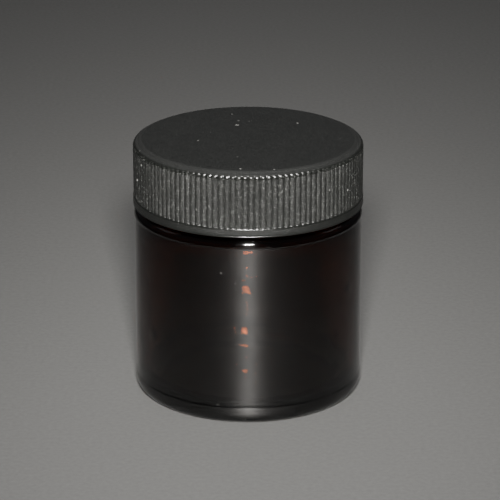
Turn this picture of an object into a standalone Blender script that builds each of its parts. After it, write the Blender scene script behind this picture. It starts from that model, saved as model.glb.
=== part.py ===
"""Cream jar: a straight-sided amber glass jar of 60 ml with a ribbed black screw cap and its liner.

Four pieces: the moulded glass jar with one raised screw thread on its neck, the cap shell with
the matching thread inside its skirt, and the two plies of the liner that seals on the jar's rim.
All sizes are given in millimetres and turned into metres by MM. +Z is up and the jar stands on
Z = 0, with its axis on Z. The thread is right-handed, so the cap rises as it turns anticlockwise.
"""

import math

import bmesh
import bpy

MM = 0.001
GAP = 0.32  # clear space between pieces that meet

# driving sizes
CAP_RADIUS = 25.0
TOTAL_HEIGHT = 57.0
CAP_HEIGHT = 14.25
JAR_RADIUS = 24.85
WALL = 2.45  # glass thickness of the straight wall
THREAD_LEAD = 4.23  # rise for one turn, six turns to the inch
THREAD_TURNS = 1.25

# cap
CAP_BOTTOM = TOTAL_HEIGHT - CAP_HEIGHT
CAP_EDGE_RADIUS = 1.7
CAP_PANEL = 1.5  # thickness of the flat top
CAP_BAND_TOP = CAP_BOTTOM + 1.45  # plain band below the ribs
CAP_LEDGE = 0.15  # height of the step from the band in to the ribs
CAP_CHAMFER = 0.25
RIB_COUNT = 120
RIB_CREST = CAP_RADIUS - 0.08
RIB_DEPTH = 0.42
CAP_BORE = 23.72  # inside radius of the skirt
CAP_THREAD_CREST = 22.62
CAP_THREAD_HALF_ROOT = 0.85
CAP_THREAD_HALF_CREST = 0.40

# liner
LINER_RADIUS = CAP_BORE - GAP
BOARD_THICKNESS = 0.9
FACING_THICKNESS = 0.3
BOARD_TOP = TOTAL_HEIGHT - CAP_PANEL - GAP
BOARD_BOTTOM = BOARD_TOP - BOARD_THICKNESS
FACING_TOP = BOARD_BOTTOM - GAP
FACING_BOTTOM = FACING_TOP - FACING_THICKNESS

# jar
RIM_TOP = FACING_BOTTOM - GAP
SHOULDER_TOP = CAP_BOTTOM - GAP
SHOULDER_RADIUS = 2.0
PANEL_RADIUS = JAR_RADIUS - 0.12  # the label panel is sunk a little into the wall
PANEL_BOTTOM = 4.3
PANEL_TOP = SHOULDER_TOP - SHOULDER_RADIUS - 0.5
PANEL_STEP = 0.25  # height over which the wall steps in to the panel
HEEL_RADIUS = 3.0
BASE_RING_OUTER = JAR_RADIUS - HEEL_RADIUS
BASE_RING_INNER = BASE_RING_OUTER - 2.2
PUSH_UP = 1.1  # how far the middle of the base is raised
NECK_RADIUS = 22.3
NECK_FILLET = 0.5
NECK_THREAD_CREST = 23.4
NECK_THREAD_HALF_ROOT = 1.1
NECK_THREAD_HALF_CREST = 0.5
BORE_RADIUS = 19.7
RIM_OUTER_ROUND = 0.8
RIM_INNER_ROUND = 0.6
INNER_RADIUS = JAR_RADIUS - WALL
FLOOR_EDGE = 3.7  # height of the inside floor at its edge
FLOOR_CROWN = 0.6  # how far its middle is raised
INNER_HEEL_RADIUS = 3.6
INNER_SHOULDER_BOTTOM = 37.6
INNER_SHOULDER_TOP = 42.8
NECK_THREAD_START = 45.6  # height of the middle of the thread where it begins
THREAD_DROP = 1.6  # how far the cap's thread hangs below the neck's
THREAD_FADE = 35.0  # degrees over which each end of a thread sinks into its wall
THREAD_SINK = 0.45  # how deep a thread's root is set into its wall

# fineness
TURNED_SEGMENTS = 72
THREAD_STEPS = 60  # per turn


def clear_scene():
    """Empties the scene."""
    for obj in list(bpy.data.objects):
        bpy.data.objects.remove(obj, do_unlink=True)


def finish_material(name, colour, roughness, transmission=0.0, ior=1.45):
    """A Principled material with one plain finish."""
    material = bpy.data.materials.new(name)
    material.use_nodes = True
    shader = material.node_tree.nodes["Principled BSDF"]
    shader.inputs["Base Color"].default_value = (*colour, 1.0)
    shader.inputs["Roughness"].default_value = roughness
    shader.inputs["Metallic"].default_value = 0.0
    shader.inputs["Transmission Weight"].default_value = transmission
    shader.inputs["IOR"].default_value = ior
    return material


def add_object(name, bm, material):
    """Turns a bmesh into a smooth-shaded object of the scene."""
    bmesh.ops.remove_doubles(bm, verts=bm.verts, dist=1e-7)
    bmesh.ops.recalc_face_normals(bm, faces=bm.faces)
    mesh = bpy.data.meshes.new(name)
    bm.to_mesh(mesh)
    bm.free()
    mesh.shade_smooth()
    mesh.set_sharp_from_angle(angle=math.radians(30))
    if material is not None:
        mesh.materials.append(material)
    obj = bpy.data.objects.new(name, mesh)
    bpy.context.scene.collection.objects.link(obj)
    return obj


def as_tool(obj):
    """Marks an object as a guide for a Boolean, which isn't part of the jar."""
    obj.hide_render = True
    obj.display_type = "WIRE"
    return obj


def combine(obj, tool, operation):
    """Adds a live Boolean of obj with tool."""
    modifier = obj.modifiers.new(tool.name, "BOOLEAN")
    modifier.operation = operation
    modifier.solver = "EXACT"
    modifier.object = tool


def arc(centre_r, centre_z, radius, start, stop, steps):
    """Points of an arc in the turned outline, from start to stop in degrees above +R."""
    points = []
    for i in range(steps + 1):
        angle = math.radians(start + (stop - start) * i / steps)
        points.append((centre_r + radius * math.cos(angle), centre_z + radius * math.sin(angle)))
    return points


def turned(name, outline, material, segments=TURNED_SEGMENTS):
    """Spins an outline of (radius, height) points about Z into a closed solid."""
    bm = bmesh.new()
    verts = [bm.verts.new((r * MM, 0.0, z * MM)) for r, z in outline]
    edges = [bm.edges.new(pair) for pair in zip(verts, verts[1:])]
    bmesh.ops.spin(
        bm,
        geom=verts + edges,
        axis=(0.0, 0.0, 1.0),
        cent=(0.0, 0.0, 0.0),
        angle=math.tau,
        steps=segments,
        use_merge=True,
    )
    return add_object(name, bm, material)


def jar_outline():
    """Outline of the jar, from the middle of the base, up the outside and down the inside."""
    points = [(0.0, PUSH_UP)]
    points += [(BASE_RING_INNER * 0.62, PUSH_UP * 0.86), (BASE_RING_INNER * 0.93, PUSH_UP * 0.4)]
    points += [(BASE_RING_INNER, 0.0)]
    points += arc(BASE_RING_OUTER, HEEL_RADIUS, HEEL_RADIUS, -90, 0, 6)
    points += [(JAR_RADIUS, PANEL_BOTTOM - PANEL_STEP), (PANEL_RADIUS, PANEL_BOTTOM)]
    points += [(PANEL_RADIUS, PANEL_TOP), (JAR_RADIUS, PANEL_TOP + PANEL_STEP)]
    points += arc(
        JAR_RADIUS - SHOULDER_RADIUS, SHOULDER_TOP - SHOULDER_RADIUS, SHOULDER_RADIUS, 0, 90, 5
    )
    points += [(NECK_RADIUS + NECK_FILLET, SHOULDER_TOP), (NECK_RADIUS, SHOULDER_TOP + NECK_FILLET)]
    points += arc(NECK_RADIUS - RIM_OUTER_ROUND, RIM_TOP - RIM_OUTER_ROUND, RIM_OUTER_ROUND, 0, 90, 3)
    points += arc(BORE_RADIUS + RIM_INNER_ROUND, RIM_TOP - RIM_INNER_ROUND, RIM_INNER_ROUND, 90, 180, 2)
    points += inner_shoulder(6)
    centre_r = INNER_RADIUS - INNER_HEEL_RADIUS
    points += arc(centre_r, FLOOR_EDGE + INNER_HEEL_RADIUS, INNER_HEEL_RADIUS, 0, -90, 4)
    points += [(centre_r * 0.5, FLOOR_EDGE + FLOOR_CROWN * 0.75), (0.0, FLOOR_EDGE + FLOOR_CROWN)]
    return points


def inner_shoulder(steps):
    """The inside wall's swing from the bore of the neck out to the straight wall, going down."""
    points = []
    for i in range(steps + 1):
        share = i / steps
        swing = 0.5 - 0.5 * math.cos(math.pi * share)
        radius = BORE_RADIUS + (INNER_RADIUS - BORE_RADIUS) * swing
        height = INNER_SHOULDER_TOP + (INNER_SHOULDER_BOTTOM - INNER_SHOULDER_TOP) * share
        points.append((radius, height))
    return points


def thread_ridge(name, wall_radius, crest_radius, half_root, half_crest, start_height):
    """One raised screw thread of trapezoid section, whose ends sink into the wall it stands on."""
    outward = 1.0 if crest_radius > wall_radius else -1.0
    height = abs(crest_radius - wall_radius)
    steps = round(THREAD_STEPS * THREAD_TURNS)
    fade = THREAD_FADE / 360.0
    bm = bmesh.new()
    rings = []
    for i in range(steps + 1):
        turn = THREAD_TURNS * i / steps
        share = min(1.0, turn / fade, (THREAD_TURNS - turn) / fade)
        stand = height * math.sin(share * math.pi / 2) - THREAD_SINK * 0.5 * (1.0 - share)
        middle = start_height + THREAD_LEAD * turn
        root = wall_radius - outward * THREAD_SINK
        crest = wall_radius + outward * stand
        section = [
            (root, middle - half_root),
            (root, middle + half_root),
            (crest, middle + half_crest),
            (crest, middle - half_crest),
        ]
        angle = math.tau * turn
        across, along = math.cos(angle), math.sin(angle)
        rings.append([bm.verts.new((r * across * MM, r * along * MM, z * MM)) for r, z in section])
    for first, second in zip(rings, rings[1:]):
        for k in range(4):
            bm.faces.new((first[k], first[(k + 1) % 4], second[(k + 1) % 4], second[k]))
    bm.faces.new(rings[0])
    bm.faces.new(rings[-1])
    return as_tool(add_object(name, bm, None))


def build_jar():
    """The glass jar with the thread on its neck."""
    glass = finish_material("amber_glass", (0.16, 0.045, 0.008), 0.04, transmission=0.9, ior=1.52)
    jar = turned("jar_body", jar_outline(), glass)
    thread = thread_ridge(
        "neck_thread_guide",
        NECK_RADIUS,
        NECK_THREAD_CREST,
        NECK_THREAD_HALF_ROOT,
        NECK_THREAD_HALF_CREST,
        NECK_THREAD_START,
    )
    combine(jar, thread, "UNION")
    return jar


def ribbed_rings():
    """The cap's outside from its lower lip to its flat top, as (height, radius, rib depth) rings."""
    ledge_top = CAP_BAND_TOP + CAP_LEDGE
    rings = [
        (CAP_BOTTOM, CAP_RADIUS - CAP_CHAMFER, 0.0),
        (CAP_BOTTOM + CAP_CHAMFER, CAP_RADIUS, 0.0),
        (CAP_BAND_TOP, CAP_RADIUS, 0.0),
        (ledge_top, RIB_CREST, RIB_DEPTH),
    ]
    edge_steps = 4
    for i in range(edge_steps + 1):
        angle = math.pi / 2 * i / edge_steps
        height = TOTAL_HEIGHT - CAP_EDGE_RADIUS * (1.0 - math.sin(angle))
        radius = RIB_CREST - CAP_EDGE_RADIUS * (1.0 - math.cos(angle))
        rings.append((height, radius, RIB_DEPTH * max(0.0, math.cos(angle * 1.25))))
    return rings


def ribbed_drum(name, material):
    """The solid outside shape of the cap, with a rib for every second column of its rings."""
    columns = RIB_COUNT * 2
    bm = bmesh.new()
    rings = []
    for height, radius, depth in ribbed_rings():
        ring = []
        for i in range(columns):
            r = radius - depth * (i % 2)
            angle = math.tau * i / columns
            ring.append(bm.verts.new((r * math.cos(angle) * MM, r * math.sin(angle) * MM, height * MM)))
        rings.append(ring)
    for lower, upper in zip(rings, rings[1:]):
        for i in range(columns):
            j = (i + 1) % columns
            bm.faces.new((lower[i], lower[j], upper[j], upper[i]))
    bm.faces.new(rings[0])
    bm.faces.new(rings[-1])
    return add_object(name, bm, material)


def build_cap():
    """The cap shell: ribbed outside, bored out, with the thread inside its skirt."""
    plastic = finish_material("black_plastic", (0.018, 0.018, 0.017), 0.55)
    cap = ribbed_drum("cap_shell", plastic)
    below = CAP_BOTTOM - 2.0
    roof = TOTAL_HEIGHT - CAP_PANEL
    bore_outline = [(0.0, below), (CAP_BORE, below), (CAP_BORE, roof - 0.4), (CAP_BORE - 0.4, roof)]
    bore = as_tool(turned("cap_bore_guide", bore_outline + [(0.0, roof)], None))
    combine(cap, bore, "DIFFERENCE")
    thread = thread_ridge(
        "cap_thread_guide",
        CAP_BORE,
        CAP_THREAD_CREST,
        CAP_THREAD_HALF_ROOT,
        CAP_THREAD_HALF_CREST,
        NECK_THREAD_START - THREAD_DROP,
    )
    combine(cap, thread, "UNION")
    return cap


def build_disc(name, bottom, top, edge_round, material):
    """A flat round ply of the liner with its edges eased."""
    outline = [
        (0.0, bottom),
        (LINER_RADIUS - edge_round, bottom),
        (LINER_RADIUS, bottom + edge_round),
        (LINER_RADIUS, top - edge_round),
        (LINER_RADIUS - edge_round, top),
        (0.0, top),
    ]
    return turned(name, outline, material)


def build_liner():
    """The liner: a pulp board that cushions, and the film facing that seals on the rim."""
    board = finish_material("pulp_board", (0.62, 0.56, 0.46), 0.9)
    film = finish_material("white_film", (0.82, 0.82, 0.8), 0.3)
    build_disc("liner_board", BOARD_BOTTOM, BOARD_TOP, 0.12, board)
    build_disc("liner_facing", FACING_BOTTOM, FACING_TOP, 0.06, film)


def main():
    clear_scene()
    build_jar()
    build_cap()
    build_liner()


main()
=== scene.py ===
"""Looks of the amber glass cream jar: glass moulding, ribbed cap, liner, floor, light and camera."""

import math
import random

import bpy
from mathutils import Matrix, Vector, noise


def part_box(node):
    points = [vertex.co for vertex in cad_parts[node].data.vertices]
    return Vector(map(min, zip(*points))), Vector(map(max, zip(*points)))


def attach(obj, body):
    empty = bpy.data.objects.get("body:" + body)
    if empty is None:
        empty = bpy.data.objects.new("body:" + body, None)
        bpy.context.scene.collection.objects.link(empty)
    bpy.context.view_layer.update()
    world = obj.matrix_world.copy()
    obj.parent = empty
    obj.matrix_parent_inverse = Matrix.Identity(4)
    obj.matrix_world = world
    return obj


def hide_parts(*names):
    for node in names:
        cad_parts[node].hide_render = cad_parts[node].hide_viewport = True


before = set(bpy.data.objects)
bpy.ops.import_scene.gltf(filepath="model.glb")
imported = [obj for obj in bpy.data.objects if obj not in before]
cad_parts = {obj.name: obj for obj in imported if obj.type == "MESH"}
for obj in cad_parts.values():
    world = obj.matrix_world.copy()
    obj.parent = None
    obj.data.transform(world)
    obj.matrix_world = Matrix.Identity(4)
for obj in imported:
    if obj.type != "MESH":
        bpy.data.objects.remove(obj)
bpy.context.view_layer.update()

MM = 0.001

# ---------------------------------------------------------------- sizes, from the frame

jar_low, jar_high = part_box("jar_body")
cap_low, cap_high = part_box("cap_shell")
board_low, board_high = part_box("liner_board")
facing_low, facing_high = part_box("liner_facing")

JAR_RADIUS = jar_high[0] / MM
RIM_TOP = jar_high[2] / MM
CAP_RADIUS = cap_high[0] / MM
CAP_BOTTOM = cap_low[2] / MM
CAP_TOP = cap_high[2] / MM
LINER_RADIUS = board_high[0] / MM

# Sizes and heights are in millimetres and angles in degrees, except in the studio.

JAR_SEGMENTS = 320
LINER_SEGMENTS = 160

# the screw thread; a section is its crest's radius and its half heights at the wall and at the crest
THREAD_LEAD = 4.23
THREAD_TURNS = 1.25
THREAD_STEPS = 160
THREAD_FADE_TURNS = 0.1
THREAD_EASE = 0.18
THREAD_ROOT = 0.45
NECK_THREAD = (23.4, 1.1, 0.5)
NECK_THREAD_START = 45.6
CAP_THREAD = (22.62, 0.85, 0.4)
CAP_THREAD_START = NECK_THREAD_START - 1.6

# outside of the glass
GAP = 0.32
SHOULDER_TOP = CAP_BOTTOM - GAP
SHOULDER_ROUND = 2.0
PANEL_BOTTOM = 4.3
PANEL_TOP = SHOULDER_TOP - SHOULDER_ROUND - 0.22
PANEL_SINK = 0.12
PANEL_RADIUS = JAR_RADIUS - PANEL_SINK
HEEL_ROUND = 3.0
BASE_RING_OUTER = JAR_RADIUS - HEEL_ROUND
BASE_RING_INNER = BASE_RING_OUTER - 2.2
PUSH_UP = 1.1
# the raised base, as radii and shares of its full rise
PUSH_UP_CURVE = [(1.5, 1.0), (6.0, 0.98), (11.0, 0.9), (15.5, 0.72), (18.3, 0.42), (19.2, 0.16)]
NECK_RADIUS = 22.3
NECK_FOOT_ROUND = 0.4
RIM_OUTER_ROUND = 0.8
RIM_INNER_ROUND = 0.6
# marks left on the shoulder where the mould vents: degrees round from the front, height, reach and rise
MOULD_MARKS = [
    (10.6, 40.5, 0.34, 0.13),
    (12.0, 40.4, 0.36, 0.16),
    (13.3, 40.4, 0.40, 0.18),
    (14.7, 40.4, 0.36, 0.16),
    (-7.0, 41.0, 0.50, 0.05),
    (169.3, 40.4, 0.40, 0.18),
]

# inside of the glass
WALL = 2.45
BORE_RADIUS = 19.7
INNER_RADIUS = JAR_RADIUS - WALL
FLOOR_EDGE = 3.7
INNER_HEEL_ROUND = 3.6
INNER_SHOULDER_LOW = PANEL_TOP - 0.75
INNER_SHOULDER_HIGH = 42.7
THICKENING_LEAN = 18.0
THICKENING_ROUND = 15.0
FLAT_FOOT = 36.0
FLAT_OVERLAP = 0.6
FLAT_HALF_WIDTH = 0.7
# folds where the wall thickens going up: degrees round from the front, foot, length, half width and lean
FRONT_FOLDS = [
    (-0.8, 35.1, 0.8, 0.7, 15.7),
    (-0.9, 29.3, 2.3, 1.3, 15.9),
    (-1.4, 20.2, 2.2, 1.2, 16.4),
    (-1.6, 17.3, 1.3, 1.0, 16.6),
    (-1.2, 11.4, 1.5, 1.1, 16.9),
]
FOLD_FADE = 1.3
FOLD_EDGE = 1.6
CRUMPLE_SIZE = 0.6
CRUMPLE_DEPTH = 0.018
SCATTERED_BLISTERS = 26
BLISTER_REACHES = (0.6, 1.1)
BLISTER_HEIGHTS = (8, 36)
BLISTER_SHAPES = (0.25, 0.37)
FRONT_CLEAR = 15
# waves of the blown skin, as their size and depth
BROAD_WAVE = (9.0, 0.16)
FINE_WAVE = (2.6, 0.04)
OUTSIDE_WAVE = (14.0, 0.006)
WAVES_START = FLOOR_EDGE + 1.0
WAVES_END = 34.5
WAVES_FADE_IN = 4.0
WAVES_FADE_OUT = 3.0
WAVES_FRONT_FADE = 5.0

# the cap
RIB_COUNT = 120
RIB_COLUMNS = 8
RIB_DEPTH = 0.28
RIB_FLANK = 45.0
CAP_EDGE_ROUND = 1.9
CAP_PANEL = 1.5
CAP_BORE = 23.72
ROOF_ROUND = 0.5
BAND_TOP = CAP_BOTTOM + 1.68
BAND_RADIUS = CAP_RADIUS - 0.03
BAND_ROUND = 0.6
BEAD_ROUND = 0.2
RIB_CREST = CAP_RADIUS - 0.12
BODY_RADIUS = RIB_CREST - RIB_DEPTH
GROOVE_START = BAND_TOP + 0.14
RIB_FOOT_ROUND = 0.34
RIB_END_ROUND = 1.0
RIB_END_HEIGHT = CAP_TOP - 1.45

# the liner
BOARD_EDGE_ROUND = 0.15
FACING_EDGE = 0.05
RIM_DENT = 0.09
DENT_START = 0.3
DENT_FULL = 0.75

# looks of the glass: the colour it leaves in light passing through, and what its skin scatters
AMBER = (0.73, 0.58, 0.32, 1)
AMBER_DENSITY = 2000.0
INSIDE_ROUGHNESS = 0.02
FILM_WHITE = (1.0, 0.985, 0.97, 1)
FILM_STRETCH = 0.588
SMEAR_SCALE = (90.0, 90.0, 160.0)
PANEL_HAZE = 0.0104
HEEL_HAZE = 0.018
SHOULDER_HAZE = 0.008
DUST_HAZE = 0.05
HAZE_ROUGHNESS = 0.46
SHOULDER_POLISH = 0.33
DUST_ROUGHNESS = 0.4

# looks of the cap
BLACK_DEEP = (0.0045, 0.005, 0.0045)
BLACK_PATCH = (0.0075, 0.008, 0.0073)
# pale grey of the brightest facets: painted sparkle, the glints of the grain put into the colour
PAINTED_SPARKLE_GREY = (0.055, 0.0565, 0.0535)
DUST_GREY = (0.36, 0.36, 0.34)
RUBBED_ROUGHNESS = 0.25
RUBBED_GRAIN = 0.12
EDGE_ROUGHENING = 0.14
PIT_DEPTH = 1.5

# studio, in metres and watts
FLOOR_RADIUS = 4.0
FLOOR_DARK = (0.082, 0.082, 0.081)
FLOOR_LIGHT = (0.116, 0.116, 0.114)
ROOM_COLOUR = (0.30, 0.305, 0.32, 1)
ROOM_STRENGTH = 0.13
LAMP_TARGET = (0.0, 0.0, 0.03)
WHITE = (1.0, 1.0, 1.0)
# each lamp's name, azimuth, elevation, distance, size, power, colour and spread
LAMPS = [
    ("flash", 0.3, 27.5, 0.60, (0.085, 0.06), 0.66, (1.0, 0.98, 0.95), 36),
    ("overhead", 190, 72, 1.3, (0.7, 0.7), 1.4, WHITE, 180),
    ("left_box", -100, 40, 1.4, (0.5, 0.7), 0.25, WHITE, 180),
    ("right_box", 105, 40, 1.5, (0.5, 0.7), 0.3, (0.98, 0.99, 1.0), 180),
    ("back_box", 180, 55, 1.4, (0.8, 0.5), 1.5, WHITE, 180),
]
CAMERA_LENS_MM = 197.3
CAMERA_SENSOR_MM = 36.0
CAMERA_TARGET = (0.0004, 0.0, 0.0312)
CAMERA_ELEVATION = 19.77
CAMERA_REACH = 0.600


# ---------------------------------------------------------------- modelling by operators


def alone(piece):
    """Selects one piece and makes it active."""
    bpy.ops.object.select_all(action="DESELECT")
    piece.select_set(True)
    bpy.context.view_layer.objects.active = piece


def arc(centre_r, centre_z, radius, start, stop, steps):
    """Points of an arc in a turned outline, from start to stop in degrees above +R."""
    points = []
    for i in range(steps + 1):
        angle = math.radians(start + (stop - start) * i / steps)
        points.append((centre_r + radius * math.cos(angle), centre_z + radius * math.sin(angle)))
    return points


def run(start, stop, steps):
    """Evenly spaced points between two outline points, without the first."""
    points = []
    for i in range(1, steps + 1):
        share = i / steps
        points.append(tuple(a + (b - a) * share for a, b in zip(start, stop)))
    return points


def turn_up(name, outline, segments):
    """Draws a disc out into a closed turned solid, by an extrude and a resize for each outline point."""
    bpy.ops.object.select_all(action="DESELECT")
    radius, height = outline[0]
    bpy.ops.mesh.primitive_circle_add(
        vertices=segments, radius=radius * MM, fill_type="NGON", location=(0, 0, height * MM)
    )
    piece = bpy.context.active_object
    piece.name = name
    bpy.ops.object.transform_apply(location=True, rotation=True, scale=True)
    bpy.ops.object.mode_set(mode="EDIT")
    bpy.ops.mesh.select_mode(type="FACE")
    bpy.ops.mesh.select_all(action="SELECT")
    for next_radius, next_height in outline[1:]:
        rise = (0, 0, (next_height - height) * MM)
        bpy.ops.mesh.extrude_region_move(TRANSFORM_OT_translate={"value": rise})
        spread = next_radius / radius
        bpy.ops.transform.resize(
            value=(spread, spread, 1), center_override=(0, 0, next_height * MM)
        )
        radius, height = next_radius, next_height
    bpy.ops.mesh.select_all(action="SELECT")
    bpy.ops.mesh.normals_make_consistent(inside=False)
    bpy.ops.object.mode_set(mode="OBJECT")
    return piece


def smooth(piece, degrees):
    """Shades a piece smooth, with edges sharper than an angle kept crisp."""
    alone(piece)
    bpy.ops.object.shade_smooth_by_angle(angle=math.radians(degrees))


def dress(piece, material):
    """Gives a piece its one material."""
    piece.data.materials.clear()
    piece.data.materials.append(material)


def use_boolean(piece, tool, operation):
    """Joins a tool to a piece, or cuts it away, and deletes the tool."""
    alone(piece)
    cut = piece.modifiers.new("cut", "BOOLEAN")
    cut.operation = operation
    cut.solver = "EXACT"
    cut.object = tool
    bpy.ops.object.modifier_apply(modifier=cut.name)
    bpy.data.objects.remove(tool, do_unlink=True)


def thread_ridge(name, wall, section, start_height):
    """A raised screw thread: a section set on +X, screwed round Z, then its ends sunk into the wall."""
    crest, half_root, half_crest = section
    outward = 1 if crest > wall else -1
    root = wall - outward * THREAD_ROOT
    middle = start_height
    bpy.ops.object.select_all(action="DESELECT")
    bpy.ops.mesh.primitive_circle_add(vertices=8, radius=MM, fill_type="NOTHING")
    ridge = bpy.context.active_object
    ridge.name = name
    ease = outward * THREAD_EASE
    corners = [
        (root, middle - half_root - 0.1),
        (root, middle + half_root + 0.1),
        (wall, middle + half_root),
        (crest - ease, middle + half_crest + 0.14),
        (crest, middle + half_crest - 0.1),
        (crest, middle - half_crest + 0.1),
        (crest - ease, middle - half_crest - 0.14),
        (wall, middle - half_root),
    ]
    for vert, (r, z) in zip(ridge.data.vertices, corners):
        vert.co = (r * MM, 0, z * MM)
    screw = ridge.modifiers.new("screw", "SCREW")
    screw.axis = "Z"
    screw.angle = math.tau * THREAD_TURNS
    screw.screw_offset = THREAD_LEAD * THREAD_TURNS * MM
    screw.steps = THREAD_STEPS
    screw.render_steps = THREAD_STEPS
    screw.merge_threshold = 1e-6
    alone(ridge)
    bpy.ops.object.modifier_apply(modifier=screw.name)
    count = len(ridge.data.vertices) // (THREAD_STEPS + 1)
    for index, vert in enumerate(ridge.data.vertices):
        turns = THREAD_TURNS * (index // count) / THREAD_STEPS
        share = min(1.0, turns / THREAD_FADE_TURNS, (THREAD_TURNS - turns) / THREAD_FADE_TURNS)
        radius = math.hypot(vert.co.x, vert.co.y) / MM
        stand = (radius - wall) * outward
        if stand > -0.01:
            target = wall + outward * (stand * math.sin(share * math.pi / 2) - 0.25 * (1 - share))
            vert.co.x *= target / radius
            vert.co.y *= target / radius
    bpy.ops.object.mode_set(mode="EDIT")
    bpy.ops.mesh.select_mode(type="VERT")
    bpy.ops.mesh.select_all(action="DESELECT")
    bpy.ops.mesh.select_non_manifold()
    bpy.ops.mesh.fill_holes(sides=0)
    bpy.ops.mesh.select_all(action="SELECT")
    bpy.ops.mesh.normals_make_consistent(inside=False)
    bpy.ops.object.mode_set(mode="OBJECT")
    return ridge


# ---------------------------------------------------------------- glass jar


def jar_outline():
    """From the middle of the base, out and up the outside, over the rim and down to the floor."""
    points = [(radius, PUSH_UP * share) for radius, share in PUSH_UP_CURVE] + [(BASE_RING_INNER, 0.0)]
    points += arc(BASE_RING_OUTER, HEEL_ROUND, HEEL_ROUND, -90, 0, 14)
    # each step of the panel has close rings on both sides, which keep the shading crisp
    points += [(JAR_RADIUS, PANEL_BOTTOM - 0.32), (JAR_RADIUS - 0.03, PANEL_BOTTOM - 0.16)]
    points += [(PANEL_RADIUS + 0.02, PANEL_BOTTOM - 0.04), (PANEL_RADIUS, PANEL_BOTTOM + 0.08)]
    points += [(PANEL_RADIUS, PANEL_BOTTOM + 0.18), (PANEL_RADIUS, PANEL_BOTTOM + 0.3)]
    points += run(points[-1], (PANEL_RADIUS, PANEL_TOP - 1.5), 12)
    points += run(points[-1], (PANEL_RADIUS, PANEL_TOP - 0.3), 5)
    points += [(PANEL_RADIUS, PANEL_TOP - 0.18), (PANEL_RADIUS, PANEL_TOP - 0.1)]
    points += [(PANEL_RADIUS + 0.03, PANEL_TOP), (JAR_RADIUS - 0.02, PANEL_TOP + 0.2)]
    shoulder_radius = JAR_RADIUS - SHOULDER_ROUND
    points += arc(shoulder_radius, SHOULDER_TOP - SHOULDER_ROUND, SHOULDER_ROUND, 0, 90, 14)
    neck_foot = SHOULDER_TOP + NECK_FOOT_ROUND
    points += arc(NECK_RADIUS + NECK_FOOT_ROUND, neck_foot, NECK_FOOT_ROUND, 270, 180, 4)
    points += run((NECK_RADIUS, neck_foot), (NECK_RADIUS, RIM_TOP - RIM_OUTER_ROUND), 16)
    points += arc(NECK_RADIUS - RIM_OUTER_ROUND, RIM_TOP - RIM_OUTER_ROUND, RIM_OUTER_ROUND, 0, 90, 6)[1:]
    points += arc(BORE_RADIUS + RIM_INNER_ROUND, RIM_TOP - RIM_INNER_ROUND, RIM_INNER_ROUND, 90, 180, 5)
    points += inner_shoulder(16)
    wall_foot = (INNER_RADIUS, FLOOR_EDGE + INNER_HEEL_ROUND)
    points += run(points[-1], wall_foot, 92)
    points += arc(INNER_RADIUS - INNER_HEEL_ROUND, wall_foot[1], INNER_HEEL_ROUND, 0, -90, 10)[1:]
    points += [(14.0, FLOOR_EDGE + 0.25), (9.0, FLOOR_EDGE + 0.45), (1.5, FLOOR_EDGE + 0.6)]
    return points


def inner_shoulder(steps):
    """The inside wall's swing from the bore of the neck out to the straight wall, going down."""
    lean = math.radians(THICKENING_LEAN)
    foot_z = INNER_SHOULDER_LOW - THICKENING_ROUND * math.sin(lean)
    low_radius = INNER_RADIUS - THICKENING_ROUND * (1 - math.cos(lean))
    climb = INNER_SHOULDER_HIGH - INNER_SHOULDER_LOW
    points = []
    for i in range(steps + 1):
        share = i / steps
        bend = share * share * (3 - 2 * share)
        ease = (share**3 - share**2) * math.tan(lean) * climb
        radius = BORE_RADIUS + (low_radius - BORE_RADIUS) * bend + ease
        points.append((radius, INNER_SHOULDER_HIGH - climb * share))
    for i in range(1, steps + 1):
        tilt = lean * (1 - i / steps)
        radius = INNER_RADIUS - THICKENING_ROUND * (1 - math.cos(tilt))
        points.append((radius, foot_z + THICKENING_ROUND * math.sin(tilt)))
    return points


def all_blisters():
    """Low blisters scattered round the inside wall: degrees round, height, reach and depth."""
    dice = random.Random(7)
    blisters = []
    for _ in range(SCATTERED_BLISTERS):
        reach = dice.uniform(*BLISTER_REACHES)
        azimuth = dice.uniform(FRONT_CLEAR, 360 - FRONT_CLEAR)
        height = dice.uniform(*BLISTER_HEIGHTS)
        depth = reach * dice.uniform(*BLISTER_SHAPES)
        blisters.append((azimuth, height, reach, depth))
    return blisters


def along_wall(place, azimuth):
    """Distance along the inside wall from an azimuth to a place."""
    around = math.degrees(math.atan2(place.x, -place.y))
    return math.radians((around - azimuth + 180) % 360 - 180) * INNER_RADIUS


def blister_rise(blisters, place, height):
    """How far blisters or marks raise the glass at a place."""
    rise = 0.0
    for azimuth, centre, reach, depth in blisters:
        if abs(height - centre) < 3 * reach:
            across = along_wall(place, azimuth)
            rise += depth * math.exp(-(across * across + (height - centre) ** 2) / reach**2)
    return rise


def wave(place, size, depth, start=(0, 0, 0)):
    """Height of a noise wave at a place."""
    return noise.noise(place / (size * MM) + Vector(start)) * depth


def fold_rise(place, height):
    """How far the front folds push the inside wall inward at a place: a crumpled ramp, then a slow fade."""
    rise = 0.0
    for azimuth, foot, length, half_width, lean in FRONT_FOLDS:
        above = height - foot
        if not 0 < above < length * (1 + FOLD_FADE):
            continue
        full = length * math.tan(math.radians(lean))
        if above < length:
            ramp = full * above / length + wave(place, CRUMPLE_SIZE, CRUMPLE_DEPTH)
        else:
            ramp = full * (0.5 + 0.5 * math.cos(math.pi * (above / length - 1) / FOLD_FADE))
        rise += ramp * math.exp(-((along_wall(place, azimuth) / (FOLD_EDGE * half_width)) ** 4))
    return rise


def front_flat(place, height):
    """How far the narrow flat at the front of the thickening lies inside the round of the wall."""
    if place.y > 0:
        return 0.0
    from_foot = max(0.0, height - FLAT_FOOT)
    to_top = max(0.0, INNER_SHOULDER_LOW + FLAT_OVERLAP - height)
    across = min(abs(place.x) / MM, FLAT_HALF_WIDTH)
    return min(1.0, from_foot, to_top) * (FLAT_HALF_WIDTH**2 - across**2) / (2 * INNER_RADIUS)


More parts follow.
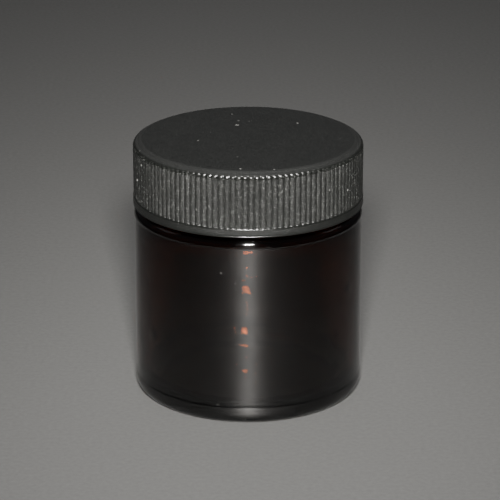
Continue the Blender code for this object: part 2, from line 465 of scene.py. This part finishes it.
def inside_waves(place, height):
    """The unevenness of the inside wall, which fades out at its foot and top and along the front."""
    skin = wave(place, *BROAD_WAVE) + wave(place, *FINE_WAVE, start=(7, 3, 1))
    from_foot = (height - WAVES_START) / WAVES_FADE_IN
    to_top = max(0.0, WAVES_END - height) / WAVES_FADE_OUT
    from_front = abs(place.x) / (WAVES_FRONT_FADE * MM) + (place.y > 0)
    return skin * min(1.0, from_foot, to_top) * min(1.0, from_front)


def settle_glass(piece):
    """Gives the inside wall the uneven, wavy skin of blown glass, and the outside a very slight one."""
    blisters = all_blisters()
    for vert in piece.data.vertices:
        place = Vector(vert.co)
        radius = math.hypot(place.x, place.y) / MM
        height = place.z / MM
        if radius < INNER_RADIUS + 0.05 and WAVES_START < height < INNER_SHOULDER_HIGH:
            shift = inside_waves(place, height) - blister_rise(blisters, place, height)
            shift -= fold_rise(place, height) + front_flat(place, height)
        elif radius > NECK_RADIUS + 1.5 and height > 3.2:
            shift = wave(place, *OUTSIDE_WAVE) + blister_rise(MOULD_MARKS, place, height)
        else:
            continue
        vert.co.x *= (radius + shift) / radius
        vert.co.y *= (radius + shift) / radius


def make_jar(material):
    jar = turn_up("jar_glass", jar_outline(), JAR_SEGMENTS)
    settle_glass(jar)
    ridge = thread_ridge("neck_thread", NECK_RADIUS, NECK_THREAD, NECK_THREAD_START)
    use_boolean(jar, ridge, "UNION")
    smooth(jar, 40)
    dress(jar, material)
    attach(jar, "jar")
    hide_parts("jar_body")


# ---------------------------------------------------------------- cap


def cap_outline():
    """From the inside roof down the bore, round the lip and up the outside to the flat top."""
    roof = CAP_TOP - CAP_PANEL
    points = [(2.0, roof), (10.0, roof)]
    points += arc(CAP_BORE - ROOF_ROUND, roof - ROOF_ROUND, ROOF_ROUND, 90, 0, 3)
    points += run((CAP_BORE, roof - ROOF_ROUND), (CAP_BORE, CAP_BOTTOM + 0.35), 6)
    points += [(CAP_BORE + 0.25, CAP_BOTTOM + 0.04), (CAP_BORE + 0.45, CAP_BOTTOM)]
    points += arc(CAP_RADIUS - BEAD_ROUND, CAP_BOTTOM + BEAD_ROUND, BEAD_ROUND, -90, 42, 8)
    points += [(BAND_RADIUS, CAP_BOTTOM + 2 * BEAD_ROUND), (BAND_RADIUS, CAP_BOTTOM + 1.0)]
    round_centre = BAND_RADIUS - BAND_ROUND
    meet = math.acos((RIB_CREST - round_centre) / BAND_ROUND)
    points += arc(round_centre, BAND_TOP, BAND_ROUND, 0, math.degrees(meet), 6)
    ribs_start = BAND_TOP + BAND_ROUND * math.sin(meet)
    points += [(RIB_CREST, ribs_start + 0.12), (RIB_CREST, ribs_start + 0.3)]
    points += run(points[-1], (RIB_CREST, RIB_END_HEIGHT), 5)
    points += arc(RIB_CREST - RIB_END_ROUND, RIB_END_HEIGHT, RIB_END_ROUND, 0, 80, 9)[1:]
    edge_centre = CAP_TOP - CAP_EDGE_ROUND
    lean = math.degrees(math.asin((points[-1][1] + 0.06 - edge_centre) / CAP_EDGE_ROUND))
    points += arc(BODY_RADIUS - CAP_EDGE_ROUND, edge_centre, CAP_EDGE_ROUND, lean, 90, 14)
    points += [(20.0, CAP_TOP), (12.0, CAP_TOP), (4.0, CAP_TOP)]
    return points


def body_radius(height):
    """Radius of the plain body that the ribs stand on, which rounds over at the top."""
    rise = height - (CAP_TOP - CAP_EDGE_ROUND)
    if rise <= 0:
        return BODY_RADIUS
    return BODY_RADIUS - CAP_EDGE_ROUND + math.sqrt(max(0.0, CAP_EDGE_ROUND**2 - rise * rise))


def rib_hollow(angle):
    """How deep the surface lies below the rib crests at an angle, as a share of the rib's own radius."""
    across = (angle * RIB_COUNT / math.tau) % 1.0
    lobe = 2.0 * across - 1.0
    return 1.0 - math.sqrt(1.0 - (lobe * math.sin(math.radians(RIB_FLANK))) ** 2)


def cut_ribs(piece):
    """Sinks the grooves between the ribs down to the plain body, with rounded feet and ends."""
    deepest = rib_hollow(0.0)
    groove_end = RIB_END_HEIGHT + RIB_END_ROUND
    for vert in piece.data.vertices:
        radius = math.hypot(vert.co.x, vert.co.y) / MM
        height = vert.co.z / MM
        stand = radius - body_radius(height)
        if not GROOVE_START < height < groove_end or radius < CAP_BORE + 0.2 or stand < 0:
            continue
        foot = min(1.0, (height - GROOVE_START) / RIB_FOOT_ROUND)
        end = min(1.0, (groove_end - height) / RIB_END_ROUND)
        hollow = rib_hollow(math.atan2(vert.co.y, vert.co.x)) / deepest
        shift = stand * hollow * math.sin(foot * math.pi / 2) * end
        vert.co.x *= (radius - shift) / radius
        vert.co.y *= (radius - shift) / radius


def make_cap(material):
    cap = turn_up("ribbed_cap", cap_outline(), RIB_COUNT * RIB_COLUMNS)
    cut_ribs(cap)
    ridge = thread_ridge("cap_thread", CAP_BORE, CAP_THREAD, CAP_THREAD_START)
    use_boolean(cap, ridge, "UNION")
    smooth(cap, 50)
    dress(cap, material)
    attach(cap, "cap")
    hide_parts("cap_shell")


# ---------------------------------------------------------------- liner


def make_liner(board_material, film_material):
    """The pulp board and its film facing, which is dented where it presses on the jar's rim."""
    low, high = board_low[2] / MM, board_high[2] / MM
    edge_centre = LINER_RADIUS - BOARD_EDGE_ROUND
    outline = [(2.0, low)]
    outline += arc(edge_centre, low + BOARD_EDGE_ROUND, BOARD_EDGE_ROUND, -90, 0, 3)
    outline += arc(edge_centre, high - BOARD_EDGE_ROUND, BOARD_EDGE_ROUND, 0, 90, 3) + [(2.0, high)]
    board = turn_up("pulp_board_disc", outline, LINER_SEGMENTS)
    low, high = facing_low[2] / MM, facing_high[2] / MM
    dented = low + RIM_DENT
    outline = [(2.0, low), (BORE_RADIUS + DENT_START, low), (BORE_RADIUS + DENT_FULL, dented)]
    outline += [(NECK_RADIUS - DENT_FULL, dented), (NECK_RADIUS - DENT_START, low)]
    outline += [(LINER_RADIUS - FACING_EDGE, low), (LINER_RADIUS, low + FACING_EDGE)]
    outline += [(LINER_RADIUS, high - FACING_EDGE), (LINER_RADIUS - FACING_EDGE, high), (2.0, high)]
    facing = turn_up("film_facing", outline, LINER_SEGMENTS)
    for piece, material, node, slot in (
        (board, board_material, "liner_board", "pulp_board"),
        (facing, film_material, "liner_facing", "white_film"),
    ):
        smooth(piece, 35)
        dress(piece, material)
        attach(piece, "liner")
        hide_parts(node)


# ---------------------------------------------------------------- node helpers and shared groups


def node(tree, kind, **settings):
    """Adds a node; settings whose names are inputs set those inputs, the rest set attributes."""
    made = tree.nodes.new(kind)
    for key, value in settings.items():
        if hasattr(made, key):
            setattr(made, key, value)
        else:
            made.inputs[key.replace("_", " ")].default_value = value
    return made


def maths(tree, operation, first, second=None, clamp=False):
    """A Math node on sockets or numbers; returns its output."""
    made = tree.nodes.new("ShaderNodeMath")
    made.operation = operation
    made.use_clamp = clamp
    for index, value in enumerate((first, second)):
        if value is None:
            continue
        if isinstance(value, (int, float)):
            made.inputs[index].default_value = value
        else:
            tree.links.new(value, made.inputs[index])
    return made.outputs[0]


def ranged(tree, value, low, high, to_low=0.0, to_high=1.0, smoothly=False):
    """Maps a value from one range to another."""
    made = tree.nodes.new("ShaderNodeMapRange")
    made.interpolation_type = "SMOOTHSTEP" if smoothly else "LINEAR"
    tree.links.new(value, made.inputs["Value"])
    made.inputs["From Min"].default_value = low
    made.inputs["From Max"].default_value = high
    made.inputs["To Min"].default_value = to_low
    made.inputs["To Max"].default_value = to_high
    return made.outputs[0]


def blend_colour(tree, factor, first, second):
    """Mixes two colours, each a socket or a plain colour, by a factor."""
    made = tree.nodes.new("ShaderNodeMix")
    made.data_type = "RGBA"
    tree.links.new(factor, made.inputs["Factor"])
    for value, socket in ((first, made.inputs["A"]), (second, made.inputs["B"])):
        sockets = [s for s in made.inputs if s.name == socket.name and s.type == "RGBA"]
        if isinstance(value, tuple):
            sockets[0].default_value = (*value, 1.0)
        else:
            tree.links.new(value, sockets[0])
    return [s for s in made.outputs if s.type == "RGBA"][0]


def new_group(name, inputs, outputs):
    """A shader node group with named float or vector inputs and float outputs."""
    group = bpy.data.node_groups.new(name, "ShaderNodeTree")
    for label, kind, value in inputs:
        socket = group.interface.new_socket(label, in_out="INPUT", socket_type=kind)
        if value is not None:
            socket.default_value = value
    for label in outputs:
        group.interface.new_socket(label, in_out="OUTPUT", socket_type="NodeSocketFloat")
    entry = group.nodes.new("NodeGroupInput")
    leave = group.nodes.new("NodeGroupOutput")
    return group, entry, leave


def scaled(tree, vector, size):
    """Divides a place in metres by a size socket in millimetres."""
    per_metre = maths(tree, "DIVIDE", 1.0 / MM, size)
    made = tree.nodes.new("ShaderNodeVectorMath")
    made.operation = "SCALE"
    tree.links.new(vector, made.inputs[0])
    tree.links.new(per_metre, made.inputs["Scale"])
    return made.outputs[0]


def build_grain_group():
    """Spark-eroded mould grain: fine pits and crystal facets over softer patches."""
    group, entry, leave = new_group(
        "mould_grain",
        [
            ("Place", "NodeSocketVector", None),
            ("Grain mm", "NodeSocketFloat", 0.3),
            ("Patch mm", "NodeSocketFloat", 6.0),
        ],
        ["Height", "Patches", "Sparkle", "Facets", "Pits"],
    )
    by_grain = scaled(group, entry.outputs["Place"], entry.outputs["Grain mm"])
    by_patch = scaled(group, entry.outputs["Place"], entry.outputs["Patch mm"])
    fine = node(group, "ShaderNodeTexNoise", Scale=1.0, Detail=2.0, Roughness=0.6)
    group.links.new(by_grain, fine.inputs["Vector"])
    patches = node(group, "ShaderNodeTexNoise", Scale=1.0, Detail=3.0, Roughness=0.5)
    group.links.new(by_patch, patches.inputs["Vector"])
    sparkle = ranged(group, fine.outputs[0], 0.60, 0.76, smoothly=True)
    crystals = node(group, "ShaderNodeTexVoronoi", Scale=1.0, Randomness=1.0)
    group.links.new(by_grain, crystals.inputs["Vector"])
    facets = group.nodes.new("ShaderNodeSeparateColor")
    group.links.new(crystals.outputs["Color"], facets.inputs[0])
    group.links.new(facets.outputs[0], leave.inputs["Facets"])
    pits = maths(group, "MULTIPLY", crystals.outputs["Distance"], facets.outputs[1])
    group.links.new(pits, leave.inputs["Pits"])
    group.links.new(fine.outputs[0], leave.inputs["Height"])
    group.links.new(patches.outputs[0], leave.inputs["Patches"])
    group.links.new(sparkle, leave.inputs["Sparkle"])
    return group


def build_dust_group():
    """Scattered specks of dust and lint: one in each chosen cell, of its own size and strength."""
    group, entry, leave = new_group(
        "dust_specks",
        [
            ("Place", "NodeSocketVector", None),
            ("Spacing mm", "NodeSocketFloat", 1.6),
            ("Speck Share", "NodeSocketFloat", 0.12),
            ("Amount", "NodeSocketFloat", 0.35),
        ],
        ["Mask"],
    )
    by_cell = scaled(group, entry.outputs["Place"], entry.outputs["Spacing mm"])
    cells = node(group, "ShaderNodeTexVoronoi", Scale=1.0, Randomness=1.0)
    group.links.new(by_cell, cells.inputs["Vector"])
    split = group.nodes.new("ShaderNodeSeparateColor")
    group.links.new(cells.outputs["Color"], split.inputs[0])
    size = maths(group, "MULTIPLY", entry.outputs["Speck Share"], split.outputs[1])
    near = maths(group, "DIVIDE", cells.outputs["Distance"], maths(group, "ADD", size, 0.02))
    speck = ranged(group, near, 1.0, 0.55, smoothly=True)
    chosen = maths(group, "LESS_THAN", split.outputs[0], entry.outputs["Amount"])
    mask = maths(group, "MULTIPLY", speck, chosen)
    faded = maths(group, "MULTIPLY", mask, ranged(group, split.outputs[2], 0.0, 1.0, 0.35, 1.0))
    group.links.new(faded, leave.inputs["Mask"])
    return group


def build_zone_group():
    """Where a place is on a turned piece: how far out from the axis and how high."""
    inputs = [("Place", "NodeSocketVector", None)]
    group, entry, leave = new_group("turned_zones", inputs, ["Radius mm", "Height mm"])
    parts = group.nodes.new("ShaderNodeSeparateXYZ")
    group.links.new(entry.outputs["Place"], parts.inputs[0])
    x_square = maths(group, "MULTIPLY", parts.outputs[0], parts.outputs[0])
    y_square = maths(group, "MULTIPLY", parts.outputs[1], parts.outputs[1])
    distance = maths(group, "SQRT", maths(group, "ADD", x_square, y_square))
    radius = maths(group, "DIVIDE", distance, MM)
    group.links.new(radius, leave.inputs["Radius mm"])
    group.links.new(maths(group, "DIVIDE", parts.outputs[2], MM), leave.inputs["Height mm"])
    return group


def use_group(tree, group, place, **values):
    """Places a shared group in a material and sets its named inputs."""
    made = tree.nodes.new("ShaderNodeGroup")
    made.node_tree = group
    tree.links.new(place, made.inputs["Place"])
    for key, value in values.items():
        made.inputs[key.replace("_", " ")].default_value = value
    return made


def new_material(name):
    """An empty Principled material, its tree, its shader and the place on the piece."""
    material = bpy.data.materials.new(name)
    material.use_nodes = True
    tree = material.node_tree
    shader = tree.nodes["Principled BSDF"]
    place = tree.nodes.new("ShaderNodeTexCoord").outputs["Object"]
    return material, tree, shader, place


def bump(tree, height, strength, distance_mm):
    """A Bump node on a height; returns its normal."""
    made = tree.nodes.new("ShaderNodeBump")
    made.inputs["Strength"].default_value = strength
    made.inputs["Distance"].default_value = distance_mm * MM
    tree.links.new(height, made.inputs["Height"])
    return made.outputs[0]


# ---------------------------------------------------------------- materials


def glass_zones(tree, groups, place):
    """Masks on the glass: all its outside, the sunk panel, the heel below that and the shoulder above."""
    zones = use_group(tree, groups["zones"], place)
    radius, height = zones.outputs["Radius mm"], zones.outputs["Height mm"]
    outer = ranged(tree, radius, INNER_RADIUS + 0.9, INNER_RADIUS + 1.1)
    above_step = ranged(tree, height, PANEL_BOTTOM - 0.1, PANEL_BOTTOM + 0.6)
    below_edge = ranged(tree, height, PANEL_TOP + 0.3, PANEL_TOP)
    panel = maths(tree, "MULTIPLY", above_step, below_edge)
    heel = maths(tree, "MULTIPLY", ranged(tree, height, 1.4, 2.8), ranged(tree, height, 4.3, 4.0))
    shoulder = ranged(tree, height, PANEL_TOP + 0.2, PANEL_TOP + 0.6)
    return outer, panel, heel, shoulder


def wiping_smears(tree, place):
    """Soft smears left by wiping, longer round the glass than up it."""
    smears = node(tree, "ShaderNodeTexNoise", Scale=1.0, Detail=4.0, Roughness=0.6, Distortion=0.4)
    stretch = tree.nodes.new("ShaderNodeMapping")
    stretch.inputs["Scale"].default_value = SMEAR_SCALE
    tree.links.new(place, stretch.inputs["Vector"])
    tree.links.new(stretch.outputs[0], smears.inputs["Vector"])
    return smears.outputs[0]


def haze_film(tree, shoulder, speck):
    """The film of fine scuffs and dust on the glass, which draws a highlight out up the wall."""
    film = tree.nodes.new("ShaderNodeBsdfAnisotropic")
    film.inputs["Color"].default_value = FILM_WHITE
    film.inputs["Anisotropy"].default_value = FILM_STRETCH
    polished = maths(tree, "MULTIPLY", shoulder, SHOULDER_POLISH)
    roughness = maths(tree, "SUBTRACT", HAZE_ROUGHNESS, polished)
    roughness = maths(tree, "ADD", roughness, maths(tree, "MULTIPLY", speck, DUST_ROUGHNESS))
    tree.links.new(roughness, film.inputs["Roughness"])
    tangent = tree.nodes.new("ShaderNodeTangent")
    tangent.direction_type = "RADIAL"
    tangent.axis = "Z"
    tree.links.new(tangent.outputs[0], film.inputs["Tangent"])
    return film.outputs[0]


def haze_share(tree, zones, smears, speck):
    """How much of the glass the film hides: none on the inside, and less where the wall turns away."""
    outer, panel, heel, shoulder = zones
    haze = maths(tree, "MULTIPLY", panel, PANEL_HAZE)
    haze = maths(tree, "ADD", haze, maths(tree, "MULTIPLY", heel, HEEL_HAZE))
    haze = maths(tree, "ADD", haze, maths(tree, "MULTIPLY", shoulder, SHOULDER_HAZE))
    haze = maths(tree, "MULTIPLY", haze, ranged(tree, smears, 0.3, 0.7, 0.85, 1.15))
    haze = maths(tree, "ADD", haze, maths(tree, "MULTIPLY", speck, DUST_HAZE))
    haze = maths(tree, "MULTIPLY", haze, outer)
    facing = node(tree, "ShaderNodeLayerWeight", Blend=0.5)
    return maths(tree, "MULTIPLY", haze, ranged(tree, facing.outputs["Facing"], 0.2, 0.8, 1.0, 0.3))


def amber_glass(groups):
    """Deep amber container glass: rippled inside, and hazed outside by handling, scuffs and dust."""
    material, tree, shader, place = new_material("amber_container_glass")
    shader.inputs["Base Color"].default_value = (0.97, 0.90, 0.80, 1)
    shader.inputs["Transmission Weight"].default_value = 1.0
    shader.inputs["Metallic"].default_value = 0.0
    shader.inputs["IOR"].default_value = 1.52
    shader.inputs["Specular IOR Level"].default_value = 0.42
    zones = glass_zones(tree, groups, place)
    outer, shoulder = zones[0], zones[3]
    smears = wiping_smears(tree, place)
    polish = ranged(tree, smears, 0.35, 0.7, 0.015, 0.05)
    polish = maths(tree, "ADD", polish, ranged(tree, outer, 0.0, 1.0, INSIDE_ROUGHNESS, 0.0))
    tree.links.new(polish, shader.inputs["Roughness"])
    ripple = node(tree, "ShaderNodeTexNoise", Scale=220.0, Detail=1.0)
    tree.links.new(place, ripple.inputs["Vector"])
    tree.links.new(bump(tree, ripple.outputs[0], 0.12, 0.05), shader.inputs["Normal"])

    dust = use_group(tree, groups["dust"], place, Spacing_mm=2.9, Speck_Share=0.12, Amount=0.8)
    speck = maths(tree, "MULTIPLY", dust.outputs[0], outer)
    joined = tree.nodes.new("ShaderNodeMixShader")
    tree.links.new(haze_share(tree, zones, smears, speck), joined.inputs[0])
    tree.links.new(shader.outputs[0], joined.inputs[1])
    tree.links.new(haze_film(tree, shoulder, speck), joined.inputs[2])

    output = tree.nodes["Material Output"]
    tree.links.new(joined.outputs[0], output.inputs["Surface"])
    absorb = tree.nodes.new("ShaderNodeVolumeAbsorption")
    absorb.inputs["Color"].default_value = AMBER
    absorb.inputs["Density"].default_value = AMBER_DENSITY
    tree.links.new(absorb.outputs[0], output.inputs["Volume"])
    return material


def cap_wear_and_sparkle_zones(tree, groups, place):
    """Masks on the cap: the plain band, the round of the top edge, what hands have rubbed smooth, and the
    skirt, which gets more painted sparkle than the top.
    """
    zones = use_group(tree, groups["zones"], place)
    radius, height = zones.outputs["Radius mm"], zones.outputs["Height mm"]
    above_ribs = ranged(tree, height, CAP_TOP - 1.7, CAP_TOP - 1.45)
    below_top = ranged(tree, height, CAP_TOP - 0.45, CAP_TOP - 0.8)
    outer_edge = ranged(tree, radius, BODY_RADIUS - 0.45, BODY_RADIUS - 0.05)
    rib_end = maths(tree, "MULTIPLY", maths(tree, "MULTIPLY", above_ribs, below_top), outer_edge)
    band = ranged(tree, height, BAND_TOP + 0.55, BAND_TOP + 0.3)
    foot = maths(tree, "MULTIPLY", band, ranged(tree, height, BAND_TOP - 0.1, BAND_TOP + 0.05))
    foot = maths(tree, "MULTIPLY", foot, ranged(tree, radius, CAP_RADIUS - 0.34, CAP_RADIUS - 0.12))
    lip = ranged(tree, height, CAP_BOTTOM + 0.45, CAP_BOTTOM + 0.36)
    rubbed = maths(tree, "MAXIMUM", rib_end, maths(tree, "MAXIMUM", foot, lip))
    into_edge = ranged(tree, height, CAP_TOP - 0.9, CAP_TOP - 0.6)
    edge = maths(tree, "MULTIPLY", into_edge, ranged(tree, height, CAP_TOP - 0.01, CAP_TOP - 0.06))
    # share of the painted sparkle: full on the skirt, less on the top
    skirt = ranged(tree, height, CAP_TOP - 0.4, CAP_TOP - 1.3, 0.3, 1.0)
    return band, edge, rubbed, skirt


def plastic_colour(tree, grain, dust, band, skirt):
    """Near black in soft patches, with painted sparkle on the skirt, pale crystal facets that stand in for
    the glints of the grain, and grey dust.
    """
    # painted sparkle: the brightest facets lightened towards a pale grey, none on the plain band
    painted_sparkle = maths(tree, "MULTIPLY", ranged(tree, grain.outputs["Facets"], 0.45, 1.0), skirt)
    painted_sparkle = maths(tree, "MULTIPLY", maths(tree, "POWER", painted_sparkle, 4.0), ranged(tree, band, 1.0, 0.0))
    dark = blend_colour(tree, grain.outputs["Patches"], BLACK_DEEP, BLACK_PATCH)
    speckled = blend_colour(tree, painted_sparkle, dark, PAINTED_SPARKLE_GREY)
    return blend_colour(tree, maths(tree, "MULTIPLY", dust, 0.7), speckled, DUST_GREY)


def plastic_roughness(tree, grain, dust, edge, rubbed):
    """Matt, and each facet its own: smoother where it is rubbed, rougher on the top edge and in dust."""
    rough = ranged(tree, grain.outputs["Facets"], 0.0, 1.0, 0.55, 0.37)
    polish = maths(tree, "MULTIPLY", rubbed, maths(tree, "SUBTRACT", RUBBED_ROUGHNESS, rough))
    rough = maths(tree, "ADD", rough, polish)
    rough = maths(tree, "ADD", rough, maths(tree, "MULTIPLY", edge, EDGE_ROUGHENING))
    rough = maths(tree, "SUBTRACT", rough, maths(tree, "MULTIPLY", grain.outputs["Sparkle"], 0.10))
    return maths(tree, "ADD", rough, maths(tree, "MULTIPLY", dust, 0.3), clamp=True)


def plastic_relief(tree, grain, dust, band, rubbed):
    """The normal of the pitted grain, worn down on the band and where hands have rubbed."""
    height = maths(tree, "ADD", grain.outputs["Height"], maths(tree, "MULTIPLY", dust, 0.4))
    height = maths(tree, "ADD", height, maths(tree, "MULTIPLY", grain.outputs["Pits"], PIT_DEPTH))
    relief = bump(tree, height, 1.0, 0.06)
    worn = maths(tree, "MAXIMUM", rubbed, maths(tree, "MULTIPLY", band, 0.6))
    tree.links.new(ranged(tree, worn, 0.0, 1.0, 1.0, RUBBED_GRAIN), relief.node.inputs["Strength"])
    return relief


def black_plastic(groups):
    """Black moulded plastic with a fine matt grain, rubbed smooth on its rib ends and lip, and dusty."""
    material, tree, shader, place = new_material("black_grained_plastic")
    shader.inputs["IOR"].default_value = 1.49
    grain = use_group(tree, groups["grain"], place, Grain_mm=0.27, Patch_mm=5.0)
    fine_dust = use_group(tree, groups["dust"], place, Spacing_mm=1.8, Speck_Share=0.16, Amount=0.12)
    lint = use_group(tree, groups["dust"], place, Spacing_mm=5.0, Speck_Share=0.10, Amount=0.6)
    dust = maths(tree, "MAXIMUM", fine_dust.outputs[0], lint.outputs[0])
    band, edge, rubbed, skirt = cap_wear_and_sparkle_zones(tree, groups, place)
    tree.links.new(plastic_colour(tree, grain, dust, band, skirt), shader.inputs["Base Color"])
    tree.links.new(plastic_roughness(tree, grain, dust, edge, rubbed), shader.inputs["Roughness"])
    tree.links.new(plastic_relief(tree, grain, dust, band, rubbed), shader.inputs["Normal"])
    return material


def pulp_board(groups):
    """Pressed pulp board: warm grey fibre with darker flecks."""
    material, tree, shader, place = new_material("pressed_pulp_board")
    grain = use_group(tree, groups["grain"], place, Grain_mm=0.5, Patch_mm=3.0)
    base = blend_colour(tree, grain.outputs["Patches"], (0.50, 0.42, 0.31), (0.66, 0.58, 0.46))
    fleck = use_group(tree, groups["dust"], place, Spacing_mm=1.2, Speck_Share=0.18, Amount=0.3)
    shade = blend_colour(tree, fleck.outputs[0], base, (0.3, 0.24, 0.17))
    tree.links.new(shade, shader.inputs["Base Color"])
    tree.links.new(ranged(tree, grain.outputs["Height"], 0.3, 0.7, 0.82, 0.95), shader.inputs["Roughness"])
    tree.links.new(bump(tree, grain.outputs["Height"], 0.6, 0.08), shader.inputs["Normal"])
    return material


def white_film(groups):
    """White polyethylene facing, with a soft sheen and a faint crinkle."""
    material, tree, shader, place = new_material("white_liner_film")
    grain = use_group(tree, groups["grain"], place, Grain_mm=0.9, Patch_mm=8.0)
    base = blend_colour(tree, grain.outputs["Patches"], (0.74, 0.74, 0.71), (0.84, 0.84, 0.82))
    tree.links.new(base, shader.inputs["Base Color"])
    tree.links.new(ranged(tree, grain.outputs["Patches"], 0.3, 0.7, 0.24, 0.38), shader.inputs["Roughness"])
    tree.links.new(bump(tree, grain.outputs["Height"], 0.25, 0.05), shader.inputs["Normal"])
    return material


def floor_paper(groups):
    """Plain pale backing paper with a very fine mottled tooth."""
    material, tree, shader, place = new_material("pale_backing_paper")
    grain = use_group(tree, groups["grain"], place, Grain_mm=1.1, Patch_mm=40.0)
    shade = blend_colour(tree, grain.outputs["Height"], FLOOR_DARK, FLOOR_LIGHT)
    tree.links.new(shade, shader.inputs["Base Color"])
    shader.inputs["Roughness"].default_value = 0.85
    shader.inputs["Specular IOR Level"].default_value = 0.3
    tree.links.new(bump(tree, grain.outputs["Height"], 0.3, 0.15), shader.inputs["Normal"])
    return material


# ---------------------------------------------------------------- stage, light and camera


def aim(obj, target):
    """Turns a lamp or camera so that it looks at a point."""
    obj.rotation_euler = (Vector(target) - obj.location).to_track_quat("-Z", "Y").to_euler()


def area_light(name, azimuth, elevation, distance, size, power, colour, spread):
    """A rectangular lamp; azimuth 0 is the camera's side, turning anticlockwise seen from above."""
    lamp = bpy.data.lights.new(name, "AREA")
    lamp.shape = "RECTANGLE"
    lamp.size, lamp.size_y = size
    lamp.energy = power
    lamp.color = colour
    lamp.spread = math.radians(spread)
    obj = bpy.data.objects.new(name, lamp)
    bpy.context.scene.collection.objects.link(obj)
    around, up = math.radians(azimuth), math.radians(elevation)
    level = math.cos(up)
    outward = Vector((math.sin(around) * level, -math.cos(around) * level, math.sin(up)))
    obj.location = Vector(LAMP_TARGET) + outward * distance
    aim(obj, LAMP_TARGET)


def make_stage(material):
    bpy.ops.object.select_all(action="DESELECT")
    bpy.ops.mesh.primitive_circle_add(vertices=96, radius=FLOOR_RADIUS, fill_type="NGON", location=(0, 0, 0))
    floor = bpy.context.active_object
    floor.name = "floor"
    dress(floor, material)
    world = bpy.data.worlds.new("studio")
    bpy.context.scene.world = world
    world.use_nodes = True
    background = world.node_tree.nodes["Background"]
    background.inputs["Color"].default_value = ROOM_COLOUR
    background.inputs["Strength"].default_value = ROOM_STRENGTH


def make_camera():
    data = bpy.data.cameras.new("camera")
    data.lens = CAMERA_LENS_MM
    data.sensor_width = CAMERA_SENSOR_MM
    data.clip_start = 0.01
    camera = bpy.data.objects.new("camera", data)
    bpy.context.scene.collection.objects.link(camera)
    up = math.radians(CAMERA_ELEVATION)
    camera.location = Vector(CAMERA_TARGET) + Vector((0, -math.cos(up), math.sin(up))) * CAMERA_REACH
    aim(camera, CAMERA_TARGET)
    bpy.context.scene.camera = camera


def main():
    make_camera()
    groups = {"grain": build_grain_group(), "dust": build_dust_group(), "zones": build_zone_group()}
    make_jar(amber_glass(groups))
    make_cap(black_plastic(groups))
    make_liner(pulp_board(groups), white_film(groups))
    make_stage(floor_paper(groups))
    for lamp in LAMPS:
        area_light(*lamp)


main()
